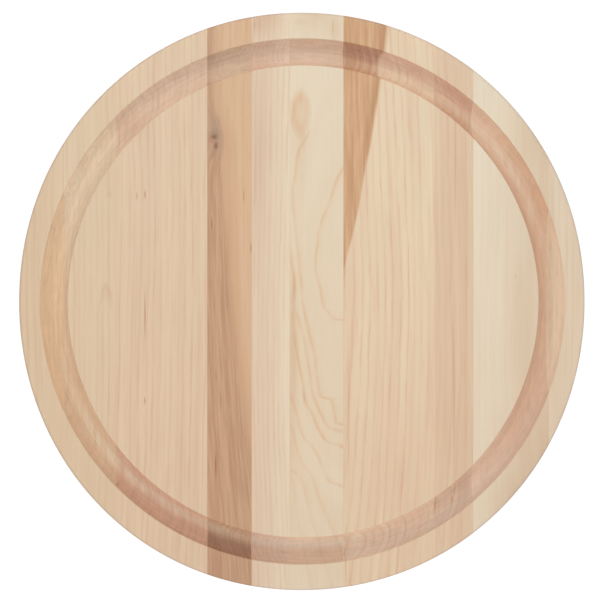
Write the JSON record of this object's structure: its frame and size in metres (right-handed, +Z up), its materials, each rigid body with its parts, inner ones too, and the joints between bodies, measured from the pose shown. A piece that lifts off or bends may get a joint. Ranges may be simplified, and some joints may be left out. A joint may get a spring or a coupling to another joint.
{
  "type": "round cutting board",
  "caption": "Round, slightly oval wooden cutting board, edge-glued from maple staves, with a ring-shaped juice groove inside its rim.",
  "frame": {"origin": "middle of the underside", "axes": "+Z up, out of the cutting face; +Y along the grain; +X across the staves, to the right in the picture"},
  "size_m": [0.374, 0.381, 0.0254],
  "materials": {
    "maple_pale": "satin",
    "maple_cream": "satin",
    "maple_peach": "satin",
    "maple_heartwood": "satin",
    "glue": "satin"
  },
  "bodies": {
    "root": {"stave_01": "maple_pale", "stave_02": "maple_pale", "stave_03": "maple_pale", "stave_04": "maple_heartwood", "stave_05": "maple_cream", "stave_06": "maple_cream", "stave_07": "maple_peach", "stave_08": "maple_peach", "stave_09": "maple_cream", "stave_10": "maple_pale", "glue_line_01": "glue", "glue_line_02": "glue", "glue_line_03": "glue", "glue_line_04": "glue", "glue_line_05": "glue", "glue_line_06": "glue", "glue_line_07": "glue", "glue_line_08": "glue", "glue_line_09": "glue"}
  },
  "joints": []
}
